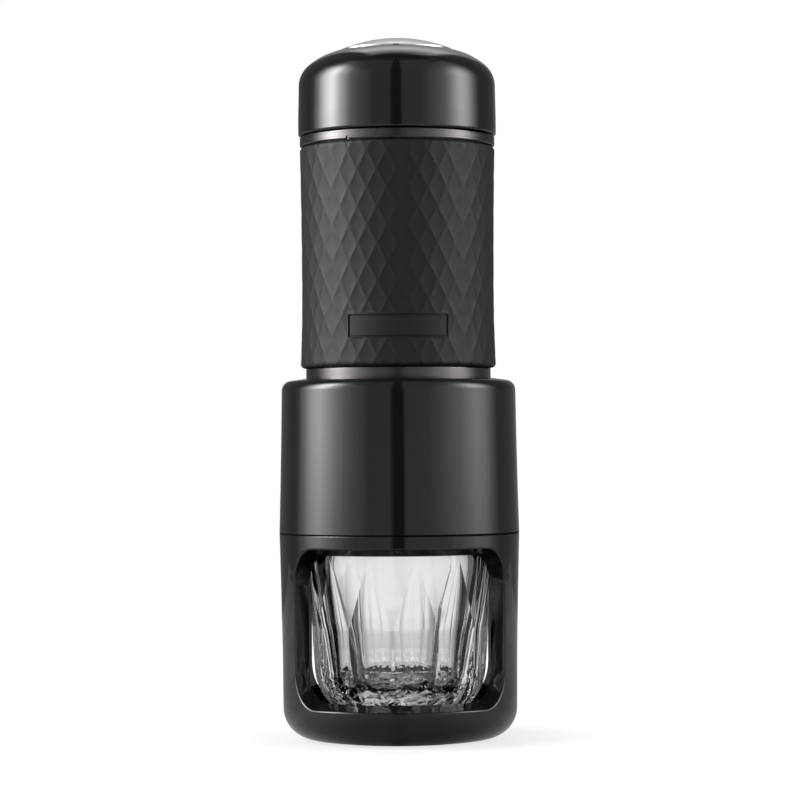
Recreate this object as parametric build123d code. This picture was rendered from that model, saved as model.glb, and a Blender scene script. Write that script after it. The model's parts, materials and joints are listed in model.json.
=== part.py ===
from build123d import *
import math
import os

# Handheld manual espresso maker, standing on its cup holder. Millimetres, +Z up,
# origin at the middle of the underside. The front of the maker faces -Y.

os.makedirs("parts", exist_ok=True)

# ---------------------------------------------------------------- fits
FIT = 0.05            # running fit of a shaft, seal or ball seat, on the radius
GAP = 0.35            # clearance round pieces that pass each other, on the radius
STEP_GAP = 0.3        # vertical gap where one visible piece stops over another
EDGE = 0.5            # rounding of the visible edges
SEAM_EDGE = 0.25      # rounding of the two edges that meet at the seam

# ---------------------------------------------------------------- visible stack
SEAM_Z = 66.6         # cup holder meets the upper shell
SHELL_H = 50.3        # upper shell
NECK_RING_H = 3.3     # bright ring under the grip
SLEEVE_H = 71.7       # silicone grip
COLLAR_H = 3.2        # ring under the pump handle
CAP_SIDE_H = 16.3     # straight side of the pump handle

SHELL_FLARE = 0.95    # upper shell wider at the seam than under its shoulder
HOLDER_FLARE = 0.95   # cup holder wider at the seam than at its foot
SLEEVE_WAIST_R = 31.2
SLEEVE_FLARE = 0.48   # grip wider at both ends than at its waist
NECK_STEP = 1.2       # bright ring inside the waist of the grip
COLLAR_STEP = 0.5     # collar ring outside the waist of the grip
COLLAR_CHAMFER = 0.4  # slope under the collar ring
COLLAR_LINE = 0.2     # width and depth of its turned lines
CAP_STEP = 0.5        # pump handle outside the collar ring

# ---------------------------------------------------------------- cup holder
FOOT_R = 10.0         # rounding round the foot
FOOT_RAISE = 0.4      # the shell of the holder stays this far off the table
FLOOR_TOP = 7.0
FRAME_WALL = 5.7
WINDOW_HALF = 61.0    # half the angle one window takes, degrees
WINDOW_TURN = 16.0    # its sides are turned out from the axis by this, degrees
SILL_RISE = 4.5       # outer sill of a window over the floor of the holder
HEAD_DROP = 4.5       # outer head of a window under the seam
WINDOW_SLOPE = 1.95   # how far sill and head lean in towards the cup
WINDOW_CORNER = 10.0
WINDOW_EDGE = 0.6     # rounding of the outer edge
HOLDER_NECK_H = 8.4
HOLDER_NECK_WALL = 2.7
FOOT_PAD_INSET = 2.5  # pad inside the flat of the foot
FOOT_PAD_T = 2.4
CUP_PAD_T = 1.5
LUG_COUNT = 3
LUG_T = 2.2           # height of a bayonet lug
LUG_REACH = 1.1       # how far a lug stands out
LUG_HALF = 5.0        # half its angle, degrees

# ---------------------------------------------------------------- glass cup
CUP_ROOM = 2.9        # between the rim of the glass and the holder
CUP_TAPER = 1.2       # rim wider than the top of the round bottom
CUP_TURN_IN = 7.7     # flat under the glass narrower than the top of the round bottom
CUP_HIP_H = 13.5      # height of the round bottom
CUP_SWELL = 1.95      # how far the round bottom bulges from the chord
CUP_LIP_T = 2.4       # wall at the rim
CUP_MOUTH_T = 4.4     # wall under the rounded mouth
CUP_MOUTH_H = 8.0     # height of the rounded mouth
CUP_WELL_T = 10.0     # wall over the rounding at the floor
CUP_WELL_EDGE = 4.0   # that rounding
CUP_BASE_T = 9.0      # heavy glass bottom
CUP_HEAD_ROOM = 3.1   # rim below the seam
CUP_PAD_INSET = 2.2

# ---------------------------------------------------------------- upper shell and brew head
SHELL_WALL = 2.4
SHOULDER_R = 3.2      # rounding at the top of the shell
SHOULDER_SLOPE = 0.7  # rise from that rounding to the flat seat
SEAT_MARGIN = 0.3     # flat seat round the bright ring
SPOUT_TIP_GAP = 0.9   # spout over the rim of the cup
SPOUT_H = 7.6
SPOUT_R = 6.5
SPOUT_BORE_R = 3.0
HOLDER_FLOOR_T = 2.5  # floor of the basket holder
BASKET_R = 24.0
BASKET_DEPTH = 13.8
BASKET_T = 0.6
BASKET_LIP = 2.4
BASKET_HOLE_R = 0.55
HOLDER_WALL = 2.6
FUNNEL_FALL = 2.0
GASKET_T = 2.0
DECK_T = 5.0
SKIRT_WALL = 3.0      # lock ring the basket holder turns into
SKIRT_H = 13.0
SKIRT_FLANGE_T = 1.8
SCREEN_T = 0.6
SCREW_R = 1.5
SCREW_HEAD_R = 2.4
SCREW_HEAD_T = 1.8
SCREW_GRIP = 6.0      # thread in the boss of the shell
SCREW_ROOM = 0.25     # beside a screw head
LUG_TURN = 14.0       # degrees from the mouth of a bayonet slot to its end
BOSS_R = 3.6
HEAD_COLLAR_WALL = 3.6

# ---------------------------------------------------------------- tank
TANK_WALL = 1.9
SLEEVE_T = 1.4        # grip at its waist
TANK_FLOOR_T = 2.5
SPIGOT_DEPTH = 11.0   # how deep the tank sits in the brew head
SPIGOT_R = 22.0
TANK_RING_STEP = 0.9
MOUTH_GAP = 1.4       # tank rim below the pump head flange, filled by its gasket

# ---------------------------------------------------------------- plaque in the grip
PLAQUE_RISE = 9.1     # over the lower end of the grip
PLAQUE_H = 7.4
PLAQUE_HALF = 29.7    # half its angle, degrees
PLAQUE_DEPTH = 0.35

# ---------------------------------------------------------------- pump
STROKE = 28.0
ROD_R = 3.0
ROD_END_R = 2.4
CYL_R = 11.0
CYL_WALL = 1.8
PISTON_H = 8.0
PISTON_GAP = 0.3
SEAL_SECTION_R = 1.1
PLUG_H = 10.4
PLUG_WALL = 2.8
BUSH_R = 6.0
WIPER_T = 1.6
GUIDE_COLLAR_WALL = 2.0
GUIDE_COLLAR_H = 3.2
SPRING_ROOM = 3.2     # middle of the wire outside the guide collar
SPRING_WIRE_R = 0.6
SPRING_TURNS = 5.0
LOCK_R = 22.8         # inside of the bayonet ring on the pump head
LOCK_WALL = 2.4
LOCK_H = 8.2
LOCK_TAB_T = 3.0
LOCK_TAB_REACH = 2.2
LOCK_TAB_START = 18.0 # degrees from a lug to the tab it turns under
LOCK_TAB_ANGLE = 40.0
CORE_TUBE_GAP = 1.2   # tube of the core inside the lock tabs
CORE_TUBE_WALL = 2.4
CORE_DISC_T = 3.5
CORE_LUG_T = 2.8
CORE_LUG_HALF = 11.0
CAP_WALL = 2.4
CAP_SEAT = 2.8        # width of the step the core sits against

# ---------------------------------------------------------------- valves
VALVE_WALL = 3.3      # outside a ball chamber
VALVE_WEB = 1.2       # between a ball chamber and the middle
BALL_R = 2.0
SEAT_HOLE_R = 1.4
CHAMBER_GAP = 0.5     # round a ball
BALL_LIFT = 1.5
OUTLET_R = 5.5
OUTLET_BORE_R = 1.9
RING_SECTION_R = 0.7
VALVE_WIRE_R = 0.22
VALVE_TURNS = 5.0
PORT_R = 1.6

# ---------------------------------------------------------------- badge and crown
CROWN_SHOULDER_R = 8.5
CROWN_TURN = 50.0     # degrees of that rounding
CROWN_R = 22.0
BADGE_INSET = 13.5    # rim of the dome inside the side of the cap
BADGE_EDGE = 0.3
BADGE_RISE = 3.9
BADGE_SINK = 1.2

# ---------------------------------------------------------------- heights that follow
shell_top = SEAM_Z + SHELL_H
ring_top = shell_top + NECK_RING_H
sleeve_top = ring_top + SLEEVE_H
collar_bottom = sleeve_top + STEP_GAP
collar_top = collar_bottom + COLLAR_H
cap_bottom = collar_top + STEP_GAP
cap_side_top = cap_bottom + CAP_SIDE_H

window_sill = FLOOR_TOP + SILL_RISE
window_head = SEAM_Z - HEAD_DROP
cup_bottom = FLOOR_TOP + CUP_PAD_T
cup_rim = SEAM_Z - CUP_HEAD_ROOM
cup_floor = cup_bottom + CUP_BASE_T

spout_tip = cup_rim + SPOUT_TIP_GAP
holder_bottom = spout_tip + SPOUT_H
basket_bottom = holder_bottom + HOLDER_FLOOR_T + FUNNEL_FALL + STEP_GAP
basket_top = basket_bottom + BASKET_DEPTH
holder_top = basket_top - BASKET_T
deck_bottom = basket_top + GASKET_T
deck_top = deck_bottom + DECK_T
skirt_bottom = deck_bottom - SKIRT_H
flange_bottom = deck_bottom - SKIRT_FLANGE_T

spigot_bottom = shell_top - SPIGOT_DEPTH
tank_floor = spigot_bottom + TANK_FLOOR_T
tank_rim = collar_bottom - MOUTH_GAP

plug_bottom = collar_bottom - PLUG_H
valve_bottom = tank_floor + STEP_GAP
outlet_tip = deck_top + 1.2
core_bottom = collar_top - EDGE + STEP_GAP
core_disc_bottom = cap_side_top - CAP_SEAT - CORE_DISC_T
core_disc_top = core_disc_bottom + CORE_DISC_T

# ---------------------------------------------------------------- radii that follow
holder_r = BASKET_R + GAP + HOLDER_WALL
skirt_in = holder_r + GAP
skirt_out = skirt_in + SKIRT_WALL
boss_radius = skirt_out + SCREW_ROOM + SCREW_HEAD_R
shell_in_top = boss_radius + SCREW_HEAD_R + SCREW_ROOM
shell_top_r = shell_in_top + SHELL_WALL
seam_r = shell_top_r + SHELL_FLARE
shell_in_low = seam_r - SHELL_WALL
base_r = seam_r - HOLDER_FLARE
frame_in = base_r - FRAME_WALL
holder_neck_r = shell_in_low - 0.02 * HOLDER_NECK_H - GAP - 0.1
foot_pad_r = base_r - FOOT_R - FOOT_PAD_INSET

cup_rim_r = frame_in - CUP_ROOM
cup_hip_r = cup_rim_r - CUP_TAPER
cup_foot_r = cup_hip_r - CUP_TURN_IN
cup_pad_r = cup_hip_r - CUP_PAD_INSET

sleeve_end_r = SLEEVE_WAIST_R + SLEEVE_FLARE
neck_ring_r = SLEEVE_WAIST_R - NECK_STEP
seat_r = neck_ring_r + SEAT_MARGIN
collar_r = SLEEVE_WAIST_R + COLLAR_STEP
cap_r = collar_r + CAP_STEP
tank_r = SLEEVE_WAIST_R - SLEEVE_T
tank_in = tank_r - TANK_WALL
tank_foot_r = neck_ring_r - 1.1
head_collar_in = SPIGOT_R + GAP + 0.25
plug_r = tank_in - GAP - 0.25
flange_r = collar_r - 0.75

guide_collar_r = BUSH_R + GUIDE_COLLAR_WALL
spring_r = guide_collar_r + SPRING_ROOM
cyl_out = CYL_R + CYL_WALL
core_tube_r = LOCK_R - LOCK_TAB_REACH - CORE_TUBE_GAP
core_in = core_tube_r - CORE_TUBE_WALL
cap_in = cap_r - CAP_WALL
badge_r = cap_r - BADGE_INSET

chamber_r = BALL_R + CHAMBER_GAP
valve_offset = chamber_r + VALVE_WEB
valve_r = valve_offset + chamber_r + VALVE_WALL
outlet_socket = OUTLET_R + GAP + FIT + 0.05


def turned(*steps):
    """A solid of revolution. A step is a point (r, z), or (point on the arc, end point)."""
    lines = []
    here = steps[0]
    for step in steps[1:] + (steps[0],):
        if isinstance(step[0], tuple):
            lines.append(ThreePointArc(here, step[0], step[1]))
            here = step[1]
        elif step != here:
            lines.append(Line(here, step))
            here = step
    face = make_face([Plane.XZ * line for line in lines])
    return revolve(face, Axis.Z)


def tube(r_in, r_out, z_low, z_high):
    """A plain ring, or a disc when r_in is 0."""
    return turned((r_in, z_low), (r_out, z_low), (r_out, z_high), (r_in, z_high))


def corner(r, z, radius, r_sign, z_sign):
    """Start, middle and end of a rounded corner at (r, z); the signs point into the solid."""
    cut = radius * (1 - math.sqrt(0.5))
    side = (r, z + z_sign * radius)
    middle = (r + r_sign * cut, z + z_sign * cut)
    flat = (r + r_sign * radius, z)
    return side, middle, flat


def bowed(start, end, swell):
    """Middle of an arc that bulges from the chord, to the right of the way it goes."""
    run = end[0] - start[0]
    rise = end[1] - start[1]
    part = swell / math.hypot(run, rise)
    return (start[0] + end[0]) / 2 + rise * part, (start[1] + end[1]) / 2 - run * part


def sector(r_in, r_out, z_low, z_high, centre, half):
    """Part of a ring, as wide as twice the half angle, around the centre angle."""
    corners = [(r_in, z_low), (r_out, z_low), (r_out, z_high), (r_in, z_high)]
    face = make_face(Plane.XZ * Polyline(*corners, close=True))
    piece = revolve(face, Axis.Z, revolution_arc=2 * half)
    low_angle = math.degrees(math.atan2(piece.center().Y, piece.center().X))
    return piece.rotate(Axis.Z, centre - low_angle)


def pin(r, z_low, z_high, x=0.0, y=0.0):
    """A round bar standing at (x, y)."""
    return Pos(x, y, (z_low + z_high) / 2) * Cylinder(r, z_high - z_low)


def around(count, start=0.0):
    """Equally spaced angles in degrees."""
    return [start + 360.0 * step / count for step in range(count)]


def coil(radius, wire_r, z_low, z_high, turns):
    """A compression spring between two levels."""
    height = z_high - z_low - 2 * wire_r
    path = Pos(0, 0, z_low + wire_r) * Helix(height / turns, height, radius)
    section = Plane(origin=path @ 0, z_dir=path % 0) * Circle(wire_r)
    return sweep(section, path=path, is_frenet=True)


# ---------------------------------------------------------------- cup holder
def make_base_frame():
    """The lower shell with a front and a back window, and the neck the upper shell goes over."""
    bend = FOOT_R * (1 - math.sqrt(0.5))
    seam_side, seam_middle, seam_flat = corner(seam_r, SEAM_Z, SEAM_EDGE, -1, -1)
    body = turned(
        (0, FOOT_RAISE),
        (base_r - FOOT_R, FOOT_RAISE),
        ((base_r - bend, FOOT_RAISE + bend), (base_r, FOOT_RAISE + FOOT_R)),
        ((base_r + 0.3, SEAM_Z * 0.58), seam_side),
        (seam_middle, seam_flat),
        (holder_neck_r, SEAM_Z),
        (holder_neck_r, SEAM_Z + HOLDER_NECK_H),
        (holder_neck_r - HOLDER_NECK_WALL, SEAM_Z + HOLDER_NECK_H),
        (holder_neck_r - HOLDER_NECK_WALL, SEAM_Z),
        (frame_in, SEAM_Z - 1),
        (frame_in, FLOOR_TOP),
        (0, FLOOR_TOP),
    )
    for side in (-90.0, 90.0):
        body -= make_window(side)
    body = fillet(window_edges(body), WINDOW_EDGE)
    body -= tube(0, foot_pad_r, FOOT_RAISE - 1, FOOT_PAD_T)
    body -= tube(0, cup_pad_r, FLOOR_TOP - CUP_PAD_T / 3, FLOOR_TOP + 1)
    lug_z = SEAM_Z + HOLDER_NECK_H - LUG_T - 1
    for angle in around(LUG_COUNT, 30.0):
        body += sector(holder_neck_r - 1, holder_neck_r + LUG_REACH, lug_z, lug_z + LUG_T, angle, LUG_HALF)
    return body


def make_window(side):
    """The tool that opens one window: sill and head lean in to the cup, the sides turn outwards."""
    far = seam_r + 2
    near = frame_in - 2
    lean = WINDOW_SLOPE / FRAME_WALL
    rise_out = lean * (far - base_r)
    rise_in = lean * (base_r - near)
    corners = [
        (near, window_sill + rise_in),
        (far, window_sill - rise_out),
        (far, window_head + rise_out),
        (near, window_head - rise_in),
    ]
    face = make_face(Plane.XZ * Polyline(*corners, close=True))
    belt = revolve(face, Axis.Z)
    half = math.radians(WINDOW_HALF)
    turned_half = math.radians(WINDOW_HALF - WINDOW_TURN)
    apex = base_r * math.sin(half) / math.tan(turned_half) - base_r * math.cos(half)
    reach = 2 * far + apex
    side_x = reach * math.sin(turned_half)
    side_y = apex - reach * math.cos(turned_half)
    plan = make_face(Polyline((0, apex), (-side_x, side_y), (side_x, side_y), close=True))
    wedge = Pos(0, 0, window_sill - HEAD_DROP) * extrude(plan, window_head - window_sill + 2 * HEAD_DROP)
    tool = (belt & wedge).solid()
    corner_edges = []
    for edge in tool.edges():
        if edge.geom_type != GeomType.CIRCLE and abs((edge % 0.5).Z) < 0.9:
            corner_edges.append(edge)
    return fillet(corner_edges, WINDOW_CORNER).rotate(Axis.Z, side + 90)


def window_edges(body):
    """The outer edges round both windows, which lie on the outside and away from the pillars."""
    lean = WINDOW_SLOPE / FRAME_WALL * abs(seam_r - base_r)
    on_side = []
    for edge in body.edges():
        middle = edge @ 0.5
        if middle.Z < window_sill - lean - 0.1 or middle.Z > window_head + lean + 0.1:
            continue
        if math.hypot(middle.X, middle.Y) > min(base_r, seam_r) - 0.1 and abs(middle.Y) > 1:
            on_side.append(edge)
    return on_side


def make_foot_pad():
    """Soft disc under the holder, with three shallow rings against slipping."""
    pad = tube(0, foot_pad_r, 0, FOOT_PAD_T)
    for step in (0.4, 0.6, 0.8):
        pad -= tube(foot_pad_r * step - 0.8, foot_pad_r * step, -1, 0.3)
    return pad


def make_cup_pad():
    """Soft disc the glass stands on."""
    return tube(0, cup_pad_r, FLOOR_TOP - CUP_PAD_T / 3, cup_bottom)


def make_glass_cup():
    """Tumbler with a thick rounded bottom, wider at the rim."""
    lip = CUP_LIP_T / 2
    foot = (cup_foot_r, cup_bottom)
    hip = (cup_hip_r, cup_bottom + CUP_HIP_H)
    well_r = cup_hip_r - CUP_WELL_T
    mouth = (cup_rim_r - CUP_MOUTH_T, cup_rim - CUP_MOUTH_H)
    lip_in = (cup_rim_r - CUP_LIP_T, cup_rim - lip)
    _, floor_middle, floor_start = corner(well_r, cup_floor, CUP_WELL_EDGE, -1, 1)
    return turned(
        (0, cup_bottom),
        foot,
        (bowed(foot, hip, CUP_SWELL), hip),
        (cup_rim_r, cup_rim - lip),
        ((cup_rim_r - lip, cup_rim), lip_in),
        (bowed(lip_in, mouth, -0.8), mouth),
        (well_r, cup_floor + CUP_WELL_EDGE),
        (floor_middle, floor_start),
        (0, cup_floor),
    )


# ---------------------------------------------------------------- upper shell and brew head
def make_outer_shell():
    """Glossy shell over the brew head, with its shoulder and the flat seat for the tank."""
    low_side, low_middle, low_flat = corner(seam_r, SEAM_Z, SEAM_EDGE, -1, 1)
    bend = SHOULDER_R * (1 - math.sqrt(0.5))
    shoulder_z = shell_top - SHOULDER_SLOPE
    roof = shoulder_z - SHELL_WALL
    body = turned(
        (shell_in_low, SEAM_Z),
        low_flat,
        (low_middle, low_side),
        ((shell_top_r + 0.3, SEAM_Z + SHELL_H * 0.56), (shell_top_r, shoulder_z - SHOULDER_R)),
        ((shell_top_r - bend, shoulder_z - bend), (shell_top_r - SHOULDER_R, shoulder_z)),
        (seat_r, shell_top),
        (head_collar_in + HEAD_COLLAR_WALL + GAP, shell_top),
        (head_collar_in + HEAD_COLLAR_WALL + GAP, roof),
        (shell_in_top, roof),
        (shell_in_low, SEAM_Z + 2),
    )
    for x, y in boss_places():
        body += pin(BOSS_R, deck_top, roof + 0.5, x, y)
        body -= pin(SCREW_R, deck_top - 1, deck_top + SCREW_GRIP + 2, x, y)
    lug_top = SEAM_Z + HOLDER_NECK_H - 1 + GAP
    lug_low = lug_top - LUG_T - 2 * GAP
    slot_r = holder_neck_r + LUG_REACH + GAP
    for angle in around(LUG_COUNT, 30.0):
        body -= sector(shell_in_top - 1, slot_r, SEAM_Z - 1, lug_top, angle, LUG_HALF + 1)
        slot_half = LUG_TURN + LUG_HALF
        body -= sector(shell_in_top - 1, slot_r, lug_low, lug_top, angle + LUG_TURN, slot_half)
    return body


def boss_places():
    """Middles of the three screw bosses, in plan."""
    turns = [math.radians(angle) for angle in around(LUG_COUNT, 90.0)]
    return [(boss_radius * math.cos(turn), boss_radius * math.sin(turn)) for turn in turns]


def make_brew_head():
    """Deck with the tank collar and the outlet socket above it."""
    collar_out = head_collar_in + HEAD_COLLAR_WALL
    body = tube(0, shell_in_top - GAP, deck_bottom, deck_top)
    body += tube(head_collar_in, collar_out, deck_bottom + 1, shell_top - 1)
    body += tube(outlet_socket, outlet_socket + 3, deck_bottom + 1, spigot_bottom - STEP_GAP - 0.2)
    body -= tube(0, BASKET_R - 1.5, deck_bottom - 1, deck_bottom + 0.8)
    body -= pin(SCREW_R, deck_bottom - 1, deck_top - 0.8)
    for angle in around(6):
        x = 3.9 * math.cos(math.radians(angle))
        y = 3.9 * math.sin(math.radians(angle))
        body -= pin(0.8, deck_bottom - 1, deck_top + 1, x, y)
    for x, y in boss_places():
        body -= pin(SCREW_R, deck_bottom - 1, deck_top + 1, x, y)
    return body


def make_lock_ring():
    """Ring under the deck with the bayonet slots of the basket holder, held by the shell screws."""
    body = tube(skirt_in, skirt_out, skirt_bottom, deck_bottom)
    body += tube(skirt_in, shell_in_top - GAP, flange_bottom, deck_bottom)
    for x, y in boss_places():
        body -= pin(SCREW_R, flange_bottom - 1, deck_bottom + 1, x, y)
    slot_top = deck_bottom - 5
    for angle in around(LUG_COUNT, 30.0):
        body -= sector(skirt_in - 1, skirt_out + 1, skirt_bottom - 1, slot_top, angle, LUG_HALF + 2)
        slot_low = slot_top - LUG_T - 4 * GAP
        body -= sector(skirt_in - 1, skirt_out + 1, slot_low, slot_top, angle + LUG_TURN, LUG_TURN - 2)
    return body


def make_shell_screws():
    """Three equal screws that hold lock ring and brew head up to the bosses of the shell."""
    head_bottom = flange_bottom - SCREW_HEAD_T
    screws = []
    for x, y in boss_places():
        screw = pin(SCREW_R, flange_bottom - 0.1, deck_top + SCREW_GRIP, x, y)
        screw += pin(SCREW_HEAD_R, head_bottom, flange_bottom, x, y)
        screw -= pin(1.1, head_bottom - 1, head_bottom + 1, x, y)
        screws.append(screw)
    return Compound(children=screws)


def make_shower_screen():
    """Perforated steel disc under the deck."""
    screen_z = deck_bottom - SCREEN_T
    screen = tube(SCREW_R + FIT, BASKET_R - 0.8, screen_z, deck_bottom)
    for ring in (5.0, 8.5, 12.0, 15.5, 19.0):
        for angle in around(int(ring * 1.8)):
            x = ring * math.cos(math.radians(angle))
            y = ring * math.sin(math.radians(angle))
            screen -= pin(0.6, screen_z - 1, deck_bottom + 1, x, y)
    return screen


def make_screen_screw():
    """Screw through the middle of the shower screen."""
    head_top = deck_bottom - SCREEN_T
    screw = pin(SCREW_R, head_top - 0.1, deck_top - 1)
    screw += pin(SCREW_HEAD_R, head_top - 1, head_top)
    slot = Pos(0, 0, head_top - 1) * Box(2 * SCREW_HEAD_R + 1, 0.8, 0.9)
    return screw - slot


def make_group_gasket():
    """Flat rubber ring the lip of the basket seals against."""
    return tube(BASKET_R - 0.6, skirt_in, basket_top, deck_bottom)


def make_filter_basket():
    """Pressed steel basket with a perforated floor and a lip."""
    inner = BASKET_R - BASKET_T
    basket = turned(
        (0, basket_bottom),
        (BASKET_R - 1.5, basket_bottom),
        ((BASKET_R - 0.44, basket_bottom + 0.44), (BASKET_R, basket_bottom + 1.5)),
        (BASKET_R, basket_top - BASKET_T),
        (BASKET_R + BASKET_LIP, basket_top - BASKET_T),
        (BASKET_R + BASKET_LIP, basket_top),
        (inner, basket_top),
        (inner, basket_bottom + 1.5),
        ((inner - 0.27, basket_bottom + 0.87), (inner - 0.9, basket_bottom + BASKET_T)),
        (0, basket_bottom + BASKET_T),
    )
    holes = []
    for ring in (3.5, 7.0, 10.5, 14.0, 17.5, 21.0):
        for angle in around(int(ring * 1.75)):
            x = ring * math.cos(math.radians(angle))
            y = ring * math.sin(math.radians(angle))
            holes.append(pin(BASKET_HOLE_R, basket_bottom - 1, basket_bottom + 1, x, y))
    return basket - holes


def make_portafilter():
    """Basket holder with a funnel floor, spout, finger ring and three bayonet lugs."""
    inner = holder_r - HOLDER_WALL
    funnel_z = holder_bottom + HOLDER_FLOOR_T
    body = turned(
        (SPOUT_BORE_R, spout_tip),
        (SPOUT_R - 1.5, spout_tip),
        (SPOUT_R, spout_tip + 3),
        (SPOUT_R, holder_bottom),
        (holder_r, holder_bottom),
        (holder_r, holder_top),
        (inner, holder_top),
        (inner, funnel_z + FUNNEL_FALL),
        (SPOUT_BORE_R, funnel_z - 0.8),
    )
    ring_r = skirt_out
    ring = tube(holder_r - 1, ring_r, holder_bottom, skirt_bottom - 2 * GAP)
    for angle in around(18):
        x = (ring_r + 1.6) * math.cos(math.radians(angle))
        y = (ring_r + 1.6) * math.sin(math.radians(angle))
        ring -= pin(2.4, holder_bottom - 1, skirt_bottom, x, y)
    body += ring
    lug_z = deck_bottom - 5 - 0.7 - LUG_T
    for angle in around(LUG_COUNT, 30.0):
        body += sector(holder_r - 1, skirt_out - 0.4, lug_z, lug_z + LUG_T, angle, LUG_HALF)
    return body


# ---------------------------------------------------------------- tank and grip
def make_water_tank():
    """Clear tank with a spigot that sits in the brew head and an open mouth."""
    spigot_in = SPIGOT_R - TANK_WALL
    body = turned(
        (outlet_socket, spigot_bottom),
        (SPIGOT_R, spigot_bottom),
        (SPIGOT_R, shell_top),
        (tank_foot_r, shell_top),
        (tank_foot_r, ring_top),
        (tank_r, ring_top),
        (tank_r, tank_rim),
        (tank_in, tank_rim),
        (tank_in, ring_top + 3),
        (spigot_in, shell_top + 1.5),
        (spigot_in, tank_floor),
        (outlet_socket, tank_floor),
    )
    for step in (3.0, 6.0):
        body += tube(SPIGOT_R - 0.5, SPIGOT_R + 0.25, spigot_bottom + step, spigot_bottom + step + 1)
    return body


def make_tank_gasket():
    """Flat ring between the tank and the collar of the brew head."""
    return tube(head_collar_in + 0.3, head_collar_in + HEAD_COLLAR_WALL - 0.3, shell_top - 1, shell_top)


def make_neck_ring():
    """Bright ring round the foot of the tank."""
    high_side, high_middle, high_flat = corner(neck_ring_r, ring_top, EDGE, -1, -1)
    return turned(
        (tank_foot_r, shell_top),
        (neck_ring_r, shell_top),
        high_side,
        (high_middle, high_flat),
        (tank_foot_r, ring_top),
    )


def make_grip_sleeve():
    """Silicone grip, slightly waisted, with a bare sunken plaque on the front."""
    low_side, low_middle, low_flat = corner(sleeve_end_r, ring_top, 1.3, -1, 1)
    high_side, high_middle, high_flat = corner(sleeve_end_r, sleeve_top, 1.0, -1, -1)
    body = turned(
        (tank_r, ring_top),
        low_flat,
        (low_middle, low_side),
        ((SLEEVE_WAIST_R + 0.1, ring_top + SLEEVE_H * 0.32), high_side),
        (high_middle, high_flat),
        (tank_r, sleeve_top),
    )
    plaque_low = ring_top + PLAQUE_RISE
    plaque_r = SLEEVE_WAIST_R - PLAQUE_DEPTH
    return body - sector(plaque_r, cap_r + 2, plaque_low, plaque_low + PLAQUE_H, -90.0, PLAQUE_HALF)


# ---------------------------------------------------------------- pump unit
def make_pump_head():
    """Closes the tank, holds the cylinder and the rod bush, and carries the bayonet ring."""
    plate_top = collar_top - EDGE
    body = tube(BUSH_R, flange_r, collar_bottom, plate_top)
    body += tube(plug_r - PLUG_WALL, plug_r, plug_bottom, collar_bottom + 1)
    body += tube(BUSH_R, cyl_out + 2.2, plug_bottom - 4, collar_bottom + 1)
    body -= tube(0, cyl_out, plug_bottom - 5, plug_bottom + 3)
    body += tube(BUSH_R, guide_collar_r, plate_top - 1, plate_top + GUIDE_COLLAR_H)
    body += tube(LOCK_R, LOCK_R + LOCK_WALL, plate_top - 1, plate_top + LOCK_H)
    for step in (2.5, 5.5):
        body += tube(plug_r - 0.5, plug_r + 0.25, plug_bottom + step, plug_bottom + step + 1)
    tab_low = plate_top + LOCK_H - LOCK_TAB_T
    tab_centre = LOCK_TAB_START + LOCK_TAB_ANGLE / 2
    tab_in = LOCK_R - LOCK_TAB_REACH
    for angle in around(LUG_COUNT, 30.0):
        tab_top = tab_low + LOCK_TAB_T
        body += sector(tab_in, LOCK_R + 1, tab_low, tab_top, angle + tab_centre, LOCK_TAB_ANGLE / 2)
        stop = angle + LOCK_TAB_START + LOCK_TAB_ANGLE - 3
        body += sector(tab_in, LOCK_R + 1, plate_top - 1, tab_top, stop, 3)
    return body


def make_collar_ring():
    """Metal ring round the flange of the pump head, with fine turned lines and an index mark."""
    inner = flange_r
    high_side, high_middle, high_flat = corner(collar_r, collar_top, EDGE, -1, -1)
    body = turned(
        (inner, collar_bottom),
        (collar_r - COLLAR_CHAMFER, collar_bottom),
        (collar_r, collar_bottom + COLLAR_CHAMFER),
        high_side,
        (high_middle, high_flat),
        (inner - 1.6, collar_top),
        (inner - 1.6, collar_top - EDGE),
        (inner, collar_top - EDGE),
    )
    for step in (0.3, 0.7):
        line_z = collar_bottom + COLLAR_H * step
        body -= tube(collar_r - COLLAR_LINE, collar_r + 1, line_z - COLLAR_LINE / 2, line_z + COLLAR_LINE / 2)
    mark_top = collar_bottom + COLLAR_H * 0.3
    body -= sector(collar_r - 3 * COLLAR_LINE, collar_r + 1, collar_bottom - 1, mark_top, -120.0, 1.0)
    return body


def make_pump_cylinder():
    """Tube the piston runs in."""
    return tube(CYL_R, cyl_out, cylinder_bottom(), plug_bottom + 3)


def cylinder_bottom():
    """Level of the lower end of the cylinder: room for the stroke, the piston and the valve plug."""
    return plug_bottom - 2 - STROKE - PISTON_H - 4


def piston_bottom():
    """Level of the underside of the piston with the handle pushed in."""
    return cylinder_bottom() + 3 + PISTON_GAP


def make_rod_guide():
    """Plain bush the rod slides in."""
    return tube(ROD_R + FIT, BUSH_R, plug_bottom + 3, collar_top - EDGE + GUIDE_COLLAR_H - WIPER_T)


def make_wiper_seal():
    """Soft ring round the rod on top of the bush."""
    top = collar_top - EDGE + GUIDE_COLLAR_H
    return tube(ROD_R + FIT, BUSH_R, top - WIPER_T, top)


def make_pump_head_gasket():
    """Flat ring between the pump head and the rim of the tank."""
    return tube(plug_r, tank_r - 0.2, tank_rim, collar_bottom)


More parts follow.
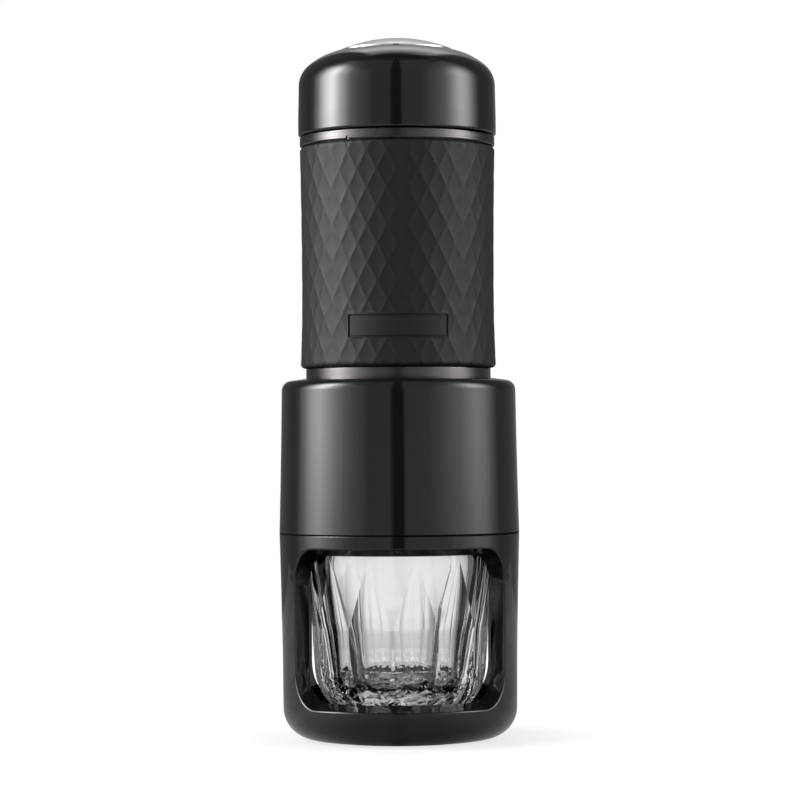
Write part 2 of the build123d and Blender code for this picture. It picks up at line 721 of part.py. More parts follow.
def make_foot_valve_body():
    """Valve block under the cylinder: inlet on +X, outlet on -X, outlet tube in the middle."""
    low = cylinder_bottom()
    groove_r = OUTLET_R + GAP - 2 * RING_SECTION_R
    body = tube(0, CYL_R, low, low + 3)
    body += tube(0, cyl_out, low - 3, low)
    body += tube(0, valve_r, valve_bottom, low - 3)
    body += tube(0, OUTLET_R, outlet_tip, valve_bottom)
    for level in ring_levels():
        body -= tube(groove_r, OUTLET_R + 1, level - RING_SECTION_R - 0.05, level + RING_SECTION_R + 0.05)
    inlet_low, inlet_high = inlet_chamber()
    body -= pin(SEAT_HOLE_R, valve_bottom + 4, low + 4, valve_offset)
    body -= pin(chamber_r, inlet_low, inlet_high, valve_offset)
    port = Pos(valve_offset + valve_r / 2, 0, valve_bottom + 4) * Rot(0, 90, 0) * Cylinder(PORT_R, valve_r)
    body -= port
    outlet_low, outlet_high = outlet_chamber()
    body -= pin(SEAT_HOLE_R, outlet_high - 1, low + 4, -valve_offset)
    body -= pin(chamber_r, outlet_low, outlet_high, -valve_offset)
    body -= pin(1.1, valve_bottom + 2, outlet_low + 1, -valve_offset)
    body -= Pos(-valve_offset / 2, 0, valve_bottom + 3) * Box(valve_offset + 1.4, 2, 2)
    body -= pin(OUTLET_BORE_R, outlet_tip - 1, valve_bottom + 3.5)
    return body


def ring_levels():
    """Middle levels of the two sealing rings on the outlet tube."""
    return (tank_floor - TANK_FLOOR_T / 2, (outlet_tip + spigot_bottom) / 2)


def inlet_chamber():
    """Lower seat and ceiling of the inlet ball chamber."""
    seat = valve_bottom + 14
    return seat, seat + ball_sit() + BALL_R + BALL_LIFT + 0.4


def outlet_chamber():
    """Floor and upper seat of the outlet ball chamber."""
    seat = valve_bottom + 20
    return seat - 10, seat


def ball_sit():
    """Height of a ball's middle over the edge it seals on."""
    return math.sqrt((BALL_R + 0.005) ** 2 - SEAT_HOLE_R ** 2)


def make_inlet_valve_ball():
    """Steel ball resting on the inlet seat."""
    return Pos(valve_offset, 0, inlet_chamber()[0] + ball_sit()) * Sphere(BALL_R)


def make_outlet_valve_ball():
    """Steel ball held up against the outlet seat."""
    return Pos(-valve_offset, 0, outlet_chamber()[1] - ball_sit()) * Sphere(BALL_R)


def make_outlet_valve_spring():
    """Light spring under the outlet ball."""
    low, high = outlet_chamber()
    ball_low = high - ball_sit() - BALL_R
    spring = coil(BALL_R * 0.72, VALVE_WIRE_R, low, ball_low + 0.35, VALVE_TURNS)
    return Pos(-valve_offset, 0, 0) * spring


def make_foot_o_rings():
    """Two equal sealing rings on the outlet tube."""
    major = OUTLET_R + GAP - RING_SECTION_R
    rings = [Pos(0, 0, level) * Torus(major, RING_SECTION_R) for level in ring_levels()]
    return Compound(children=rings)


# ---------------------------------------------------------------- plunger
def make_piston_rod():
    """Steel rod from the piston up to the nut, stepped under the handle core."""
    nut_top = core_disc_top + 4.5
    rod = pin(ROD_R, piston_bottom() + 2, core_disc_bottom - 4)
    rod += pin(ROD_END_R, core_disc_bottom - 5, nut_top)
    return chamfer(rod.edges().sort_by(Axis.Z)[-1], 0.4)


def make_piston_head():
    """Piston with a groove for its seal."""
    low = piston_bottom()
    middle = low + PISTON_H / 2
    groove_r = CYL_R - FIT - 2 * SEAL_SECTION_R
    body = tube(0, CYL_R - GAP, low, low + PISTON_H)
    body -= tube(groove_r, CYL_R + 1, middle - SEAL_SECTION_R - FIT, middle + SEAL_SECTION_R + FIT)
    return body - pin(ROD_R, low + 2, low + PISTON_H + 1)


def make_piston_seal():
    """Rubber ring in the groove of the piston."""
    major = CYL_R - FIT - SEAL_SECTION_R
    return Pos(0, 0, piston_bottom() + PISTON_H / 2) * Torus(major, SEAL_SECTION_R)


def make_rod_nut():
    """Hexagon nut on the end of the rod."""
    nut = Pos(0, 0, core_disc_top) * extrude(RegularPolygon(4.6, 6), 3.2)
    return nut - pin(ROD_END_R, core_disc_top - 1, core_disc_top + 4)


def make_return_spring():
    """Spring round the guide collar that lifts the handle."""
    return coil(spring_r, SPRING_WIRE_R, collar_top - EDGE, core_disc_bottom, SPRING_TURNS)


# ---------------------------------------------------------------- handle
def make_handle_core():
    """Disc inside the cap with the rod boss and the tube that carries the bayonet lugs."""
    body = tube(ROD_END_R + FIT, cap_in, core_disc_bottom, core_disc_top)
    body += tube(ROD_END_R + FIT, guide_collar_r, core_disc_bottom - 4, core_disc_bottom + 1)
    body += tube(core_in, core_tube_r, core_bottom, core_disc_bottom + 1)
    lug_out = LOCK_R - GAP
    lug_low = core_bottom + 0.9
    for angle in around(LUG_COUNT, 30.0):
        body += sector(core_in + 1, lug_out, lug_low, lug_low + CORE_LUG_T, angle, CORE_LUG_HALF)
    for angle in around(6, 30.0):
        hole_r = (core_in + guide_collar_r) / 2 + 6.5
        x = hole_r * math.cos(math.radians(angle))
        y = hole_r * math.sin(math.radians(angle))
        body -= pin(2.0, core_disc_bottom - 1, core_disc_top + 1, x, y)
    return body


def crown_points():
    """Shoulder start, shoulder middle, shoulder end, crown middle and crown edge."""
    turn = math.radians(CROWN_TURN)
    side_r = cap_r - 0.22
    centre_r = side_r - CROWN_SHOULDER_R
    points = [(side_r, cap_side_top)]
    for part in (0.5, 1.0):
        r = centre_r + CROWN_SHOULDER_R * math.cos(turn * part)
        points.append((r, cap_side_top + CROWN_SHOULDER_R * math.sin(turn * part)))
    crown_centre_r = points[2][0] - CROWN_R * math.cos(turn)
    crown_centre_z = points[2][1] - CROWN_R * math.sin(turn)
    last = math.acos((badge_r + FIT - crown_centre_r) / CROWN_R)
    for angle in ((turn + last) / 2, last):
        r = crown_centre_r + CROWN_R * math.cos(angle)
        points.append((r, crown_centre_z + CROWN_R * math.sin(angle)))
    return points


def make_handle_cap():
    """Glossy cap pushed with the palm, hollow, with a round recess for the dome."""
    side, shoulder, shoulder_end, crown, edge = crown_points()
    recess_z = edge[1] - BADGE_SINK
    low_side, low_middle, low_flat = corner(cap_r, cap_bottom, EDGE * 1.6, -1, 1)
    roof_r = cap_in - CAP_SEAT
    roof_low = core_disc_top + 5.5
    return turned(
        (cap_in, cap_bottom),
        low_flat,
        (low_middle, low_side),
        (cap_r, cap_bottom + CAP_SIDE_H * 0.35),
        side,
        (shoulder, shoulder_end),
        (crown, edge),
        (edge[0], recess_z),
        (0, recess_z),
        (0, recess_z - CAP_WALL * 0.7),
        (badge_r - 3, recess_z - CAP_WALL * 0.7),
        (roof_r, roof_low - 1.5),
        (roof_r, core_disc_top),
        (cap_in, core_disc_top),
    )


def make_dome_badge():
    """Polished blank dome in the top of the cap."""
    edge_z = crown_points()[4][1]
    low = edge_z - BADGE_SINK
    rim = edge_z + BADGE_EDGE
    ball_r = (badge_r ** 2 + BADGE_RISE ** 2) / (2 * BADGE_RISE)
    middle_r = badge_r / 2
    middle_z = rim + BADGE_RISE - ball_r + math.sqrt(ball_r ** 2 - middle_r ** 2)
    return turned(
        (0, low),
        (badge_r, low),
        (badge_r, rim),
        ((middle_r, middle_z), (0, rim + BADGE_RISE)),
    )


PARTS = {
    "base_frame": make_base_frame,
    "foot_pad": make_foot_pad,
    "cup_pad": make_cup_pad,
    "glass_cup": make_glass_cup,
    "outer_shell": make_outer_shell,
    "brew_head": make_brew_head,
    "lock_ring": make_lock_ring,
    "shell_screws": make_shell_screws,
    "shower_screen": make_shower_screen,
    "screen_screw": make_screen_screw,
    "group_gasket": make_group_gasket,
    "filter_basket": make_filter_basket,
    "portafilter": make_portafilter,
    "water_tank": make_water_tank,
    "tank_gasket": make_tank_gasket,
    "neck_ring": make_neck_ring,
    "grip_sleeve": make_grip_sleeve,
    "pump_head": make_pump_head,
    "collar_ring": make_collar_ring,
    "pump_cylinder": make_pump_cylinder,
    "rod_guide": make_rod_guide,
    "wiper_seal": make_wiper_seal,
    "pump_head_gasket": make_pump_head_gasket,
    "foot_valve_body": make_foot_valve_body,
    "inlet_valve_ball": make_inlet_valve_ball,
    "outlet_valve_ball": make_outlet_valve_ball,
    "outlet_valve_spring": make_outlet_valve_spring,
    "foot_o_rings": make_foot_o_rings,
    "piston_rod": make_piston_rod,
    "piston_head": make_piston_head,
    "piston_seal": make_piston_seal,
    "rod_nut": make_rod_nut,
    "return_spring": make_return_spring,
    "handle_core": make_handle_core,
    "handle_cap": make_handle_cap,
    "dome_badge": make_dome_badge,
}

for name, make in PARTS.items():
    export_step(make(), f"parts/{name}.step")
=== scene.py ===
import math

import bpy
import numpy as np
from mathutils import Matrix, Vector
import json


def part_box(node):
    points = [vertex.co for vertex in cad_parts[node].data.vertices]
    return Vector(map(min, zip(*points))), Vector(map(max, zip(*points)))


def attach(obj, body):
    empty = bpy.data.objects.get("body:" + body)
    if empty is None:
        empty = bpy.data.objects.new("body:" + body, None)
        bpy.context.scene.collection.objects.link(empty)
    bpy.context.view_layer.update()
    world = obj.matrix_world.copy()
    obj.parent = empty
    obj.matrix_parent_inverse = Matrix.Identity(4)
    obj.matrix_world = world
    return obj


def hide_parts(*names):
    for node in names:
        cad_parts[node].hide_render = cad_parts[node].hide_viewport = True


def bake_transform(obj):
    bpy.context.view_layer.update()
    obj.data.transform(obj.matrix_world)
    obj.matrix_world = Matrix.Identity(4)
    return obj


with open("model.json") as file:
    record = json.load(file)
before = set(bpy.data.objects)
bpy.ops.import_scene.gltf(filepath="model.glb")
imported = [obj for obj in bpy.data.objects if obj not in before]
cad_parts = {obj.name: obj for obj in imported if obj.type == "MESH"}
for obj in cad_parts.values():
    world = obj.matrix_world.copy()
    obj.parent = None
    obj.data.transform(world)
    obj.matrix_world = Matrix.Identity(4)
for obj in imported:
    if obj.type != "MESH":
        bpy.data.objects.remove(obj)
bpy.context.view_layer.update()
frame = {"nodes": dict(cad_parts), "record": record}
nodes = frame["nodes"]

MM = 0.001
SMOOTH_ANGLE = math.radians(34)
FACET_ANGLE = math.radians(8)     # edges of the cut glass stay sharp from here

# Levels in the stored pose that the materials follow, in metres.
SEAM_Z = 0.0666                   # cup holder meets the upper shell
SEAM_SHADE = (0.0001, 0.00045, 0.00055)  # the painted shade line over it, where the reflection is turned down: full from, full to, gone
RIPPLE_Z = (0.0195, 0.0232)       # moulded ripples of the glass: full below, gone above
RIPPLE_HEIGHT = 0.0006


# ---------------------------------------------------------------- meshes
def new_object(name, verts, faces, material, sharp=SMOOTH_ANGLE):
    """A mesh object from points in millimetres, shaded smooth except over sharp edges."""
    mesh = bpy.data.meshes.new(name)
    mesh.from_pydata([tuple(c * MM for c in v) for v in verts], [], faces)
    mesh.validate()
    mesh.materials.append(material)
    mesh.shade_smooth()
    mesh.set_sharp_from_angle(angle=sharp)
    obj = bpy.data.objects.new(name, mesh)
    bpy.context.scene.collection.objects.link(obj)
    return obj


def stand_for(obj, body, slot, *cad_nodes):
    """obj takes the place of CAD nodes and rides on their body."""
    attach(obj, body)
    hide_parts(*cad_nodes)
    return obj


def nodes_box(name):
    """A CAD node's box in millimetres."""
    low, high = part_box(name)
    return low / MM, high / MM


# ---------------------------------------------------------------- materials
class Look:
    """A node material on a Principled shader, with helpers for procedural variation."""

    def __init__(self, name, **settings):
        self.mat = bpy.data.materials.new(name)
        self.mat.use_nodes = True
        self.tree = self.mat.node_tree
        self.shader = self.tree.nodes["Principled BSDF"]
        for key, value in settings.items():
            self.shader.inputs[key.replace("_", " ")].default_value = value

    def node(self, kind, **settings):
        made = self.tree.nodes.new(kind)
        for key, value in settings.items():
            if hasattr(made, key):
                setattr(made, key, value)
            else:
                made.inputs[key.replace("_", " ")].default_value = value
        return made

    def link(self, source, target):
        self.tree.links.new(source, target)

    def place(self, scale=(1, 1, 1)):
        """Object coordinates in metres, stretched."""
        coord = self.node("ShaderNodeTexCoord")
        mapping = self.node("ShaderNodeMapping")
        mapping.inputs["Scale"].default_value = scale
        self.link(coord.outputs["Object"], mapping.inputs["Vector"])
        return mapping.outputs["Vector"]

    def noise(self, scale, detail=3.0, stretch=(1, 1, 1), roughness=0.5):
        made = self.node("ShaderNodeTexNoise", Scale=scale, Detail=detail, Roughness=roughness)
        self.link(self.place(stretch), made.inputs["Vector"])
        return made.outputs["Fac"]

    def level(self):
        """Height over the table in metres, in the stored pose."""
        coord = self.node("ShaderNodeTexCoord")
        split = self.node("ShaderNodeSeparateXYZ")
        self.link(coord.outputs["Object"], split.inputs["Vector"])
        return split.outputs["Z"]

    def between(self, value, low, high, start=0.0, end=1.0):
        made = self.node("ShaderNodeMapRange")
        made.inputs["From Min"].default_value = start
        made.inputs["From Max"].default_value = end
        made.inputs["To Min"].default_value = low
        made.inputs["To Max"].default_value = high
        self.link(value, made.inputs["Value"])
        return made.outputs["Result"]

    def blend(self, value, dark, light):
        made = self.node("ShaderNodeMix", data_type="RGBA")
        made.inputs["A"].default_value = (*dark, 1)
        made.inputs["B"].default_value = (*light, 1)
        self.link(value, made.inputs["Factor"])
        return made.outputs["Result"]

    def bump(self, value, distance, strength=1.0, before=None):
        made = self.node("ShaderNodeBump", Strength=strength, Distance=distance)
        self.link(value, made.inputs["Height"])
        if before is not None:
            self.link(before, made.inputs["Normal"])
        return made.outputs["Normal"]

    def colour(self, socket):
        self.link(socket, self.shader.inputs["Base Color"])

    def rough(self, socket):
        self.link(socket, self.shader.inputs["Roughness"])

    def normal(self, socket):
        self.link(socket, self.shader.inputs["Normal"])


def gloss_plastic(name, dark, light, rough=0.07, seam=None):
    """Polished black plastic: faint mottling, hairline wear, long waves in the skin, a painted shade line over a
    seam.
    """
    look = Look(name, IOR=1.5)
    if seam is not None:
        z = look.level()
        start, end, gone = SEAM_SHADE
        above = look.between(z, 0.0, 1.0, seam, seam + start)
        below = look.between(z, 1.0, 0.0, seam + end, seam + gone)
        # painted shade: a band just over the seam loses its reflection, so the groove between the parts reads dark
        seam_painted_shade = look.node("ShaderNodeMath", operation="MULTIPLY")
        look.link(above, seam_painted_shade.inputs[0])
        look.link(below, seam_painted_shade.inputs[1])
        look.link(look.between(seam_painted_shade.outputs["Value"], 0.5, 0.0), look.shader.inputs["Specular IOR Level"])
    look.colour(look.blend(look.noise(45, 4), dark, light))
    wear = look.noise(260, 4, (1, 1, 0.12))
    look.rough(look.between(wear, rough, rough + 0.06, 0.55, 0.9))
    look.normal(look.bump(look.noise(24, 1), 0.00001, 0.3))
    return look.mat


def moulded_plastic(name, dark, light, rough=0.45):
    """Matt moulded plastic with a fine grain."""
    look = Look(name, IOR=1.48)
    look.colour(look.blend(look.noise(60, 3), dark, light))
    look.rough(look.between(look.noise(300, 2), rough - 0.08, rough + 0.1))
    look.normal(look.bump(look.noise(2600, 2), 0.00004, 0.5))
    return look.mat


def rubber(name, dark, light, rough=0.62, grain=1800, spec=0.5):
    """Soft matt rubber with a powdery skin."""
    look = Look(name, IOR=1.45)
    look.shader.inputs["Specular IOR Level"].default_value = spec
    look.colour(look.blend(look.noise(90, 4), dark, light))
    look.rough(look.between(look.noise(500, 3), rough - 0.06, rough + 0.08))
    look.normal(look.bump(look.noise(grain, 2), 0.00005, 0.4))
    return look.mat


def metal(name, dark, light, rough=0.25, stretch=(1, 1, 60), grain=400, spread=0.12):
    """Metal with turning or drawing marks."""
    look = Look(name, Metallic=1.0)
    look.colour(look.blend(look.noise(70, 4, stretch), dark, light))
    look.rough(look.between(look.noise(grain, 3, stretch), rough, rough + spread))
    look.normal(look.bump(look.noise(grain * 2, 2, stretch), 0.00001, 0.35))
    return look.mat


def clear(name, tint, deep, rough=0.0, ior=1.5, wobble=0.00003, heavy=None):
    """Clear glass or plastic with a faint wave in its skin, and moulded ripples below a level."""
    look = Look(name, IOR=ior)
    look.shader.inputs["Transmission Weight"].default_value = 1.0
    look.colour(look.blend(look.noise(40, 2), deep, tint))
    look.rough(look.between(look.noise(120, 3), rough, rough + 0.02, 0.5, 0.9))
    wave = look.bump(look.noise(90, 1), wobble, 0.3)
    if heavy is not None:
        ripple = look.node("ShaderNodeMath", operation="MULTIPLY")
        look.link(look.noise(250, 1.0, (1, 1, 1.4)), ripple.inputs[0])
        look.link(look.between(look.level(), 1.0, 0.0, *heavy), ripple.inputs[1])
        wave = look.bump(ripple.outputs["Value"], RIPPLE_HEIGHT, 1.0, wave)
    look.normal(wave)
    return look.mat


BLACKS = ((0.0035, 0.004, 0.0045), (0.0055, 0.006, 0.0065))

MAT = {
    "holder_black": gloss_plastic("holder gloss black", *BLACKS),
    "shell_black": gloss_plastic("shell gloss black", *BLACKS, seam=SEAM_Z),
    "cap_black": gloss_plastic("cap gloss black", *BLACKS),
    "holder_plastic": moulded_plastic("basket holder plastic", (0.018, 0.018, 0.02), (0.026, 0.026, 0.028)),
    "inner_plastic": moulded_plastic("inner plastic", (0.03, 0.03, 0.033), (0.042, 0.042, 0.046)),
    "valve_plastic": moulded_plastic("pale valve plastic", (0.5, 0.49, 0.46), (0.62, 0.61, 0.58), 0.38),
    "bush_plastic": moulded_plastic("white bush plastic", (0.7, 0.69, 0.66), (0.8, 0.79, 0.77), 0.35),
    "sleeve_silicone": rubber("grip silicone", (0.007, 0.0075, 0.008), (0.0105, 0.011, 0.0115), 0.5, spec=0.3),
    "pad_rubber": rubber("pad rubber", (0.012, 0.012, 0.013), (0.02, 0.02, 0.021), 0.7),
    "seal_rubber": rubber("seal rubber", (0.02, 0.02, 0.021), (0.032, 0.032, 0.033), 0.42),
    "smoked_metal": metal("smoked metal", (0.07, 0.065, 0.068), (0.11, 0.103, 0.106), 0.2),
    "dome_chrome": metal("dome chrome", (0.78, 0.76, 0.79), (0.86, 0.85, 0.87), 0.02, (1, 1, 1), 200, 0.03),
    "cup_glass": clear("cup glass", (0.97, 0.965, 0.97), (0.95, 0.945, 0.95), heavy=RIPPLE_Z),
    "tank_clear": clear("smoked clear tank", (0.42, 0.43, 0.45), (0.36, 0.37, 0.39), 0.04, 1.49),
    "cylinder_metal": metal("honed aluminium", (0.6, 0.6, 0.62), (0.74, 0.74, 0.76), 0.28),
    "perforated_steel": metal("perforated steel", (0.52, 0.52, 0.53), (0.68, 0.68, 0.69), 0.24, (1, 12, 1)),
    "screw_steel": metal("zinc screws", (0.45, 0.45, 0.47), (0.6, 0.6, 0.62), 0.26, (1, 1, 1)),
    "rod_steel": metal("ground rod", (0.66, 0.66, 0.68), (0.8, 0.8, 0.82), 0.07, (1, 1, 40)),
    "ball_steel": metal("polished balls", (0.7, 0.7, 0.72), (0.8, 0.8, 0.82), 0.05, (1, 1, 1)),
    "spring_steel": metal("spring wire", (0.4, 0.4, 0.42), (0.58, 0.58, 0.6), 0.22, (1, 1, 1)),
}

SLOTS = {row["node"]: row["material_slot"] for row in frame["record"]["subparts"]}
for name, piece in nodes.items():
    piece.data.materials.clear()
    piece.data.materials.append(MAT[SLOTS[name]])


# ---------------------------------------------------------------- grip with its diamond lattice
GRIP_COUNT = 30            # diamonds round the grip
GRIP_PITCH = 11.8          # height of a diamond
GRIP_PHASE = 123.6         # level of a lattice point in the middle of the front
GRIP_DISH = 0.2            # depth of the middle of a diamond
GRIP_CREST = 2.6           # how sharp the ridges are: 2 is a plain dish, more is flatter in the middle
GRIP_CELLS = 12            # grid steps in half a diamond
GRIP_INSIDE_R = 29.8
WAIST_Z = 144.0
WAIST_R = 31.2
FLARE_DOWN = (0.5, 21.5)   # how much wider the grip is, this far below its waist
FLARE_UP = (0.47, 46.0)    # and above it
LOW_EDGE_R = 1.5           # rounding of its lower end
HIGH_EDGE_R = 1.1
PLAQUE_HALF = 30.0         # half its angle, degrees
PLAQUE_LOW = 129.4
PLAQUE_HIGH = 136.6
PLAQUE_SUNK = 0.1          # field of the plaque below the ridges
PLAQUE_LINE = (0.47, 0.5)  # width and depth of the line cut round it
PLAQUE_RIM = 0.3           # plain rim outside that line
MM_PER_DEGREE = 0.54       # along the grip


def grip_radius(z, low, high):
    """Ridge radius of the grip, waisted and rounded at its ends."""
    flare, reach = FLARE_DOWN if z < WAIST_Z else FLARE_UP
    r = WAIST_R + flare * ((z - WAIST_Z) / reach) ** 2
    for edge, radius in ((z - low, LOW_EDGE_R), (high - z, HIGH_EDGE_R)):
        if edge < radius:
            r -= radius - math.sqrt(max(0.0, radius ** 2 - (radius - edge) ** 2))
    return r


def lattice(turn, z):
    """Where a point lies across the two families of ridges, in diamonds."""
    along = turn * GRIP_COUNT / math.tau
    up = (z - GRIP_PHASE) / GRIP_PITCH
    return (along + up) % 1.0, (along - up) % 1.0


def grip_depth(turn, z):
    """How far the surface is below the ridges: dished diamonds and a plain plaque with a cut outline."""
    side = (PLAQUE_HALF - abs(math.degrees(turn))) * MM_PER_DEGREE
    lip = min(side, z - PLAQUE_LOW, PLAQUE_HIGH - z)
    if lip > -PLAQUE_RIM:
        if lip < 0:
            return 0.0
        width, depth = PLAQUE_LINE
        return depth if lip < width else PLAQUE_SUNK
    a, b = lattice(turn, z)
    across_a = abs(2 * a - 1) ** GRIP_CREST
    across_b = abs(2 * b - 1) ** GRIP_CREST
    return GRIP_DISH * (1 - across_a) * (1 - across_b)


def ring(r, z, columns):
    """Points round the axis, from the front."""
    turns = [math.tau * k / columns for k in range(columns)]
    return [(r * math.sin(turn), -r * math.cos(turn), z) for turn in turns]


def grip_levels(low, high):
    """Rows of the grip: its rounded ends, the grid of the diamonds, and the lines of the plaque."""
    step = GRIP_PITCH / 2 / GRIP_CELLS
    levels = [low, low + 0.06, low + 0.25, low + 0.55, low + 0.95, high - 0.6, high - 0.25, high - 0.06, high]
    z = GRIP_PHASE - math.floor((GRIP_PHASE - low - 0.05) / step) * step
    while z < high - 0.05:
        if z > low + 0.12:
            levels.append(z)
        z += step
    for edge, way in ((PLAQUE_LOW, 1), (PLAQUE_HIGH, -1)):
        levels += [edge + way * off for off in (-0.05, 0.05, 0.42, 0.52)]
    return sorted(levels)


def make_grip():
    """Silicone sleeve with raised diamonds. Each square of the grid is split along the nearer ridge."""
    low, high = (corner.z for corner in nodes_box("grip_sleeve"))
    levels = grip_levels(low, high)
    columns = GRIP_COUNT * 2 * GRIP_CELLS
    verts, faces = [], []
    for z in levels:
        base = grip_radius(z, low, high)
        for k in range(columns):
            turn = math.tau * k / columns
            signed = (turn + math.pi) % math.tau - math.pi
            r = base - grip_depth(signed, z)
            verts.append((r * math.sin(turn), -r * math.cos(turn), z))
    rows = len(levels)
    for i in range(rows - 1):
        for k in range(columns):
            n = (k + 1) % columns
            p, q = i * columns + k, i * columns + n
            s, t = p + columns, q + columns
            a, b = lattice(math.tau * (k + 0.5) / columns, (levels[i] + levels[i + 1]) / 2)
            if min(a, 1 - a) < min(b, 1 - b):
                faces += [(p, q, s), (q, t, s)]
            else:
                faces += [(p, q, t), (p, t, s)]
    inside = len(verts)
    verts += ring(GRIP_INSIDE_R, low, columns) + ring(GRIP_INSIDE_R, high, columns)
    top_row = (rows - 1) * columns
    top_inside = inside + columns
    for k in range(columns):
        n = (k + 1) % columns
        faces.append((inside + k, inside + n, n, k))
        faces.append((top_row + k, top_row + n, top_inside + n, top_inside + k))
        faces.append((top_inside + k, top_inside + n, inside + n, inside + k))
    obj = new_object("grip", verts, faces, MAT["sleeve_silicone"])
    return stand_for(obj, "tank", "sleeve_silicone", "grip_sleeve")


make_grip()


# ---------------------------------------------------------------- faceted glass cup
FACETS = 12                # tall pointed facets round the cup
FACET_PHASE = 10.5         # degrees from the front to the first point
FACET_TIP = 59.0           # level of the points of the tall facets
SHORT_STEPS = 24           # grid steps from those points down to the points of the short facets
FACET_RUN = 1.5            # mm down for each degree that a facet widens
FACET_SCOOP = 1.0          # how far the middle of a whole facet is hollowed
SHORT_SCOOP = 0.7          # the same for a short facet
CUP_FLOOR = 9.0            # thickness of the heavy bottom
CUP_HOLLOW = 3.0           # depth of the shallow hollow under it
CUP_HOLLOW_R = 18.0
CUP_FOOT_R = 19.9          # flat under the glass
CUP_HEEL_R = 20.5          # over the small rounding of that flat
CUP_HIP_H = 13.5           # top of the round bottom
CUP_HIP_OUT = 7.7          # that much wider than the heel
CUP_SWELL = 1.95           # how far the round bottom bulges from its chord
SWELL_DOWN = 0.49          # direction of that bulge
SWELL_OUT = 0.87
CUP_RIM_R = 29.4
CUP_MOUTH_R = 25.0         # inside, under the rim
CUP_MOUTH_H = 8.0          # and that far below it
CUP_WELL_R = 18.2          # inside, over the rounding at its floor
WELL_EDGE_H = 4.0          # height of that rounding
WELL_EDGE_R = 4.5          # and its width
CUP_COLUMNS = 480
FACET_WIDTH = 360 / FACETS


def facet_off(turn, phase):
    """Degrees from the middle of the nearest facet of a family."""
    return (turn - phase + FACET_WIDTH / 2) % FACET_WIDTH - FACET_WIDTH / 2


def facet_cut(turn, z, phase, tip, scoop, r):
    """How far a family of pointed, hollowed facets cuts into radius r."""
    if z >= tip:
        return 0.0
    off = facet_off(turn, phase)
    half = min((tip - z) / FACET_RUN, FACET_WIDTH / 2)
    if abs(off) >= half:
        return 0.0
    flat = r - r * math.cos(math.radians(half)) / math.cos(math.radians(off))
    return flat + scoop * (half * 2 / FACET_WIDTH) * (1 - (off / half) ** 2)


def facet_edge(turn, z, phase, tip):
    """Degrees from the nearest edge of such a family, and the side of the facet."""
    off = facet_off(turn, phase)
    return abs(abs(off) - (tip - z) / FACET_RUN), off


def make_tumbler():
    """Glass cup with a heavy bottom, cut outside into tall pointed facets, plain inside."""
    low, rim = (corner.z for corner in nodes_box("glass_cup"))
    column = 360 / CUP_COLUMNS
    step = column * FACET_RUN
    short_tip = FACET_TIP - SHORT_STEPS * step
    heel = low + 0.25
    turned = [(low, CUP_FOOT_R), (heel, CUP_HEEL_R)]
    for k in range(1, 15):
        t = k / 14
        bulge = CUP_SWELL * 4 * t * (1 - t)
        turned.append((
            heel + (low + CUP_HIP_H - heel) * t - bulge * SWELL_DOWN,
            CUP_HEEL_R + CUP_HIP_OUT * t + bulge * SWELL_OUT,
        ))
    turned.append((rim - 1.0, CUP_RIM_R))
    levels = [low, heel, low + 0.5, low + 0.8]
    z = FACET_TIP - math.floor((FACET_TIP - low - 1.2) / step) * step
    while z < rim - 1.4:
        levels.append(z)
        z += step
    levels.append(rim - 1.0)
    outer = [(low + CUP_HOLLOW * (1 - (k / 12) ** 2), CUP_HOLLOW_R * k / 12) for k in range(1, 13)]
    hollow_rows = len(outer)
    outer += [(z, float(np.interp(z, *zip(*turned)))) for z in levels]
    outer += [(rim - 0.35, CUP_RIM_R - 0.2), (rim, CUP_RIM_R - 0.8)]
    floor_z = low + CUP_FLOOR
    inner = [(rim - 0.3, 27.9), (rim - 1.1, 27.1), (rim - 2.6, 26.4), (rim - 5.0, 25.6)]
    for k in range(25):
        t = k / 24
        z = rim - CUP_MOUTH_H + (floor_z + WELL_EDGE_H - rim + CUP_MOUTH_H) * t
        inner.append((z, CUP_MOUTH_R + (CUP_WELL_R - CUP_MOUTH_R) * t))
    for k in range(1, 7):
        a = math.radians(90 * k / 6)
        inner.append((floor_z + WELL_EDGE_H * (1 - math.sin(a)), CUP_WELL_R - WELL_EDGE_R * (1 - math.cos(a))))
    between = FACET_PHASE + FACET_WIDTH / 2
    verts, faces = [], []
    for row, (z, r) in enumerate(outer):
        for k in range(CUP_COLUMNS):
            turn = column * k
            cut = 0.0
            if row > hollow_rows and z < rim - 1:
                cut = max(
                    facet_cut(turn, z, FACET_PHASE, FACET_TIP, FACET_SCOOP, r),
                    facet_cut(turn, z, between, short_tip, SHORT_SCOOP, r),
                )
            a = math.radians(turn)
            verts.append(((r - cut) * math.sin(a), -(r - cut) * math.cos(a), z))
    for z, r in inner:
        verts += ring(r, z, CUP_COLUMNS)
    rows = len(outer) + len(inner)
    for i in range(rows - 1):
        middle = (outer[i][0] + outer[i + 1][0]) / 2 if i + 1 < len(outer) else None
        for k in range(CUP_COLUMNS):
            n = (k + 1) % CUP_COLUMNS
            p, q = i * CUP_COLUMNS + k, i * CUP_COLUMNS + n
            s, t = p + CUP_COLUMNS, q + CUP_COLUMNS
            if middle is None or i < hollow_rows:
                faces.append((p, q, t, s))
                continue
            turn = column * (k + 0.5)
            tall = facet_edge(turn, middle, FACET_PHASE, FACET_TIP)
            short = facet_edge(turn, middle, between, short_tip)
            side = short[1] if middle < short_tip and short[0] < tall[0] else tall[1]
            faces += [(p, q, t), (p, t, s)] if side < 0 else [(p, q, s), (q, t, s)]
    for end, z in ((0, low + CUP_HOLLOW), (rows - 1, floor_z)):
        centre = len(verts)
        verts.append((0.0, 0.0, z))
        for k in range(CUP_COLUMNS):
            n = (k + 1) % CUP_COLUMNS
            if end == 0:
                faces.append((centre, n, k))
            else:
                faces.append((end * CUP_COLUMNS + k, end * CUP_COLUMNS + n, centre))
    obj = new_object("tumbler", verts, faces, MAT["cup_glass"], FACET_ANGLE)
    return stand_for(obj, "cup", "cup_glass", "glass_cup")


make_tumbler()


